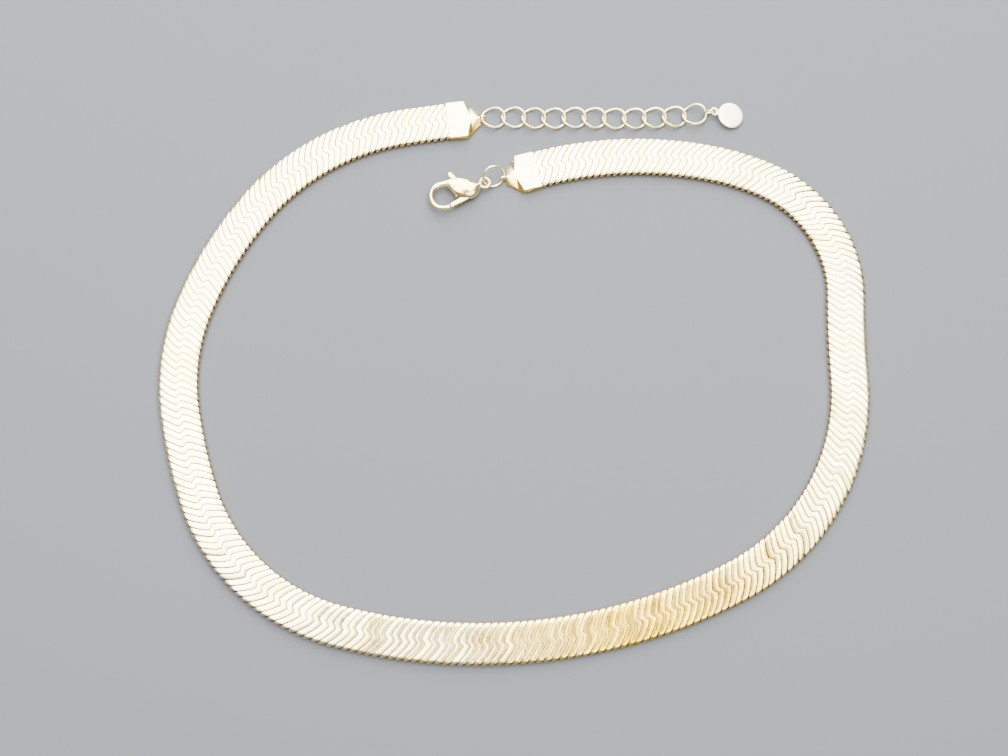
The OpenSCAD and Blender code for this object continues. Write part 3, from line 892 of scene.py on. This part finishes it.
# The clasp's body
#
# A lobster clasp cast in brass in one piece: a round eye, a domed body that is slotted for the
# lever, and a hook that tapers round to the lever's gate. A rivet crosses the slot.
CLASP_TURN = 194
CLASP_HEIGHT = 1.7
EYE_RADIUS = 1.25
EYE_HALF_WIDE = 0.40
EYE_HALF_HIGH = 0.42
EYE_STEPS = 40
EYE_SIDES = 14
HOOK_MIDDLE = (10.9, 0.8)
HOOK_RADIUS = 3.25
HOOK_SPAN = (-58, 104)
HOOK_TAPER = (0.68, 0.60)
HOOK_STEPS = 15
BODY_SIDES = 28
ROWS_BETWEEN = 3
# Outline of the body up to the hook: outer side x, y, inner side x, y, half height
CLASP_ROWS = np.array([
    (0.95, -0.42, 1.00, 0.48, 0.40), (1.55, -0.62, 1.45, 1.05, 0.62),
    (2.45, -1.15, 1.85, 1.72, 0.92), (3.50, -1.88, 2.55, 2.50, 1.24),
    (4.60, -2.55, 3.55, 3.06, 1.46), (5.75, -3.06, 4.75, 3.24, 1.56),
    (6.90, -3.32, 6.00, 3.05, 1.55), (8.00, -3.36, 7.20, 2.45, 1.42),
    (9.00, -3.26, 8.08, 1.52, 1.22), (9.90, -3.14, 8.50, 0.48, 1.02),
    (10.70, -3.06, 9.15, -0.77, 0.84), (11.70, -3.01, 10.20, -1.54, 0.72)])
# The rivet's place, radius and half length
PIVOT = (5.1, 1.75)
RIVET_RADIUS = 0.4
RIVET_HALF = 1.2
RIVET_SIDES = 24
# The slot that the lever turns in, from the pivot: room for the gate arm, the thumb arm and the
# hub. Half its height differs by a hair from one to the next, so that no two of them share a face.
SLOT_HALF = 0.67
SLOT_HAIR = 0.002
GATE_SLOT = [(0.7, -0.9), (2.5, -0.42), (4.7, -0.4), (4.72, 1.3), (3.9, 2.95), (3.6, 3.15),
             (-0.3, 1.7), (-0.6, 0.9)]
THUMB_SLOT = [(1.1, 0.26), (-0.72, -0.5), (-0.78, -6.6), (3.4, -6.6), (3.3, -5.2), (2.65, -4.5)]
HUB_SLOT = 1.07
HUB_SIDES = 32


def smooth_rows(rows, between):
    """Rows put in between the given ones, on Catmull-Rom curves through them: cubics whose slope
    at each row is half the step from the row before it to the row after it."""
    padded = np.concatenate([[2 * rows[0] - rows[1]], rows, [2 * rows[-1] - rows[-2]]])
    spans = len(rows) - 1
    place = np.arange(spans * between + 1) / between
    span = np.minimum(place.astype(int), spans - 1)
    part = (place - span)[:, None]
    a, b, c, d = padded[span], padded[span + 1], padded[span + 2], padded[span + 3]
    return 0.5 * (2 * b + (c - a) * part + (2 * a - 5 * b + 4 * c - d) * part ** 2
                  + (3 * b - a - 3 * c + d) * part ** 3)


hook_angle = np.radians(np.linspace(*HOOK_SPAN, HOOK_STEPS))
taper = np.linspace(*HOOK_TAPER, HOOK_STEPS)
hook_outer = HOOK_RADIUS + taper
hook_inner = HOOK_RADIUS - taper
hook_rows = np.stack([
    HOOK_MIDDLE[0] + hook_outer * np.cos(hook_angle),
    HOOK_MIDDLE[1] + hook_outer * np.sin(hook_angle),
    HOOK_MIDDLE[0] + hook_inner * np.cos(hook_angle),
    HOOK_MIDDLE[1] + hook_inner * np.sin(hook_angle), taper], axis=-1)
body_rows = smooth_rows(np.concatenate([CLASP_ROWS, hook_rows]), ROWS_BETWEEN)
level = 0 * body_rows[:, 0]
outer = np.stack([body_rows[:, 0], body_rows[:, 1], level], axis=-1)[:, None]
inner = np.stack([body_rows[:, 2], body_rows[:, 3], level], axis=-1)[:, None]
half_high = body_rows[:, 4][:, None, None]
angle = full_turn(BODY_SIDES)[None, :, None]
body_points = ((outer + inner) / 2 + (outer - inner) / 2 * np.cos(angle)
               + half_high * np.sin(angle) * np.array([0, 0, 1.0]))
clasp_middle = (eye_middle[0], eye_middle[1], CLASP_HEIGHT)
cast_body = add_mesh("cast_body", turned_points(body_points, CLASP_TURN, clasp_middle),
                     tube_faces(*body_points.shape[:2]))
hub_slot = HUB_SLOT * flat_circle(HUB_SIDES)[0][:, :2]
for name, flat, half in (("gate", GATE_SLOT, SLOT_HALF),
                         ("thumb", THUMB_SLOT, SLOT_HALF - SLOT_HAIR),
                         ("hub", hub_slot, SLOT_HALF + SLOT_HAIR)):
    flat = np.array(flat) + PIVOT
    rows = np.array([np.column_stack([flat, np.full(len(flat), h)]) for h in (half, -half)])
    cutter = add_mesh(name + "_cutter", turned_points(rows, CLASP_TURN, clasp_middle),
                      tube_faces(2, len(flat)))
    cut = cast_body.modifiers.new(name, "BOOLEAN")
    cut.object = cutter
    cut.operation = "DIFFERENCE"
    cut.solver = "EXACT"
    shown = bpy.context.evaluated_depsgraph_get()
    shown.update()
    cut_mesh = bpy.data.meshes.new_from_object(cast_body.evaluated_get(shown))
    cast_body.modifiers.clear()
    cast_body.data = cut_mesh
    bpy.data.objects.remove(cutter)
eye_out, eye_up = flat_circle(EYE_STEPS)
eye = (loop_sweep(EYE_RADIUS * eye_out, eye_out, eye_up, EYE_HALF_WIDE, EYE_HALF_HIGH,
                  EYE_SIDES, power=1),
       grid_faces(EYE_STEPS, EYE_SIDES, wrap_rows=True, wrap_columns=True))
rivet_profile = np.array([(0.02, -RIVET_HALF), (RIVET_RADIUS, -RIVET_HALF),
                          (RIVET_RADIUS, RIVET_HALF), (0.02, RIVET_HALF)])
rivet = (lathe(rivet_profile, RIVET_SIDES) + (PIVOT[0], PIVOT[1], 0),
         tube_faces(len(rivet_profile), RIVET_SIDES))
fitting_points, fitting_faces = join_parts([eye, rivet])
eye_and_rivet = add_mesh("clasp_eye_and_rivet", turned_points(
    fitting_points, CLASP_TURN, clasp_middle), fitting_faces)
clasp_material = plated_metal(
    "clasp_gold", pale=(1.0, 0.89, 0.44, 1), deep=(0.92, 0.64, 0.14, 1), cloud_size=240.0,
    gloss=0.15)[0]
for piece in (cast_body, eye_and_rivet):
    sharpen(piece, 35)
    piece.data.materials.append(clasp_material)
    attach(piece, "necklace")
    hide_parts("clasp_body")

# The clasp's lever
#
# Stamped from 1.1 mm plate: a hub on the rivet, a gate arm that closes the hook and a thumb arm
# with a small nub outside the body. A spring inside the body keeps it shut.
LEVER_HALF = 0.55
LEVER_EDGE = 0.12
# The two arms' outlines, from the pivot, and the hub's profile: distance from the pivot, height
GATE_ARM = np.array([(0.5, -0.25), (2.3, 0.87), (4.68, 1.55), (4.76, 1.68), (4.53, 2.50),
                     (4.40, 2.58), (1.8, 1.92), (-0.1, 1.42), (-0.35, 0.85), (0.0, 0.55),
                     (0.5, 0.35)])
THUMB_ARM = np.array([(0.85, 0.1), (0.6, -0.15), (0.3, -0.45), (-0.1, -0.6), (-0.1, -0.95),
                      (0.7, -2.8), (1.5, -4.6), (2.2, -5.9), (2.5, -6.3), (2.85, -6.5),
                      (3.3, -6.4), (3.47, -6.08), (3.1, -5.3), (2.45, -4.6), (1.7, -2.3)])
HUB_PROFILE = np.array([(0.45, 0.53), (0.88, 0.53), (0.95, 0.46), (0.95, -0.46), (0.88, -0.53),
                        (0.45, -0.53)])


def rounded_plate(flat, half, edge):
    """Rings of points of a plate with rounded edges: the outline, which runs against the clock,
    drawn in by edge at both faces, along the mean of its two neighbouring sides' normals."""
    before = unit(flat - np.roll(flat, 1, axis=0))
    after = unit(np.roll(flat, -1, axis=0) - flat)
    along = before + after
    inward = unit(np.stack([-along[:, 1], along[:, 0]], axis=-1))
    rows = [(half, 1.0), (half - edge * 0.3, 0.3), (half - edge, 0.0), (edge - half, 0.0),
            (edge * 0.3 - half, 0.3), (-half, 1.0)]
    return np.array([np.column_stack([flat + edge * draw * inward, np.full(len(flat), h)])
                     for h, draw in rows])


lever_parts = [(lathe(HUB_PROFILE, HUB_SIDES),
                grid_faces(len(HUB_PROFILE), HUB_SIDES, wrap_rows=True, wrap_columns=True))]
for flat in (GATE_ARM, THUMB_ARM):
    rows = rounded_plate(flat, LEVER_HALF, LEVER_EDGE)
    lever_parts.append((rows, tube_faces(len(rows), len(flat))))
lever_points, lever_faces = join_parts(lever_parts)
lever = add_mesh("lever_plate", turned_points(
    lever_points + (PIVOT[0], PIVOT[1], 0), CLASP_TURN, clasp_middle), lever_faces)
sharpen(lever, 40)
lever.data.materials.append(plated_metal(
    "lever_gold", pale=(1.0, 0.89, 0.44, 1), deep=(0.92, 0.64, 0.14, 1), cloud_size=300.0,
    gloss=0.20)[0])
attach(lever, "clasp_lever")
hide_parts("clasp_lever")
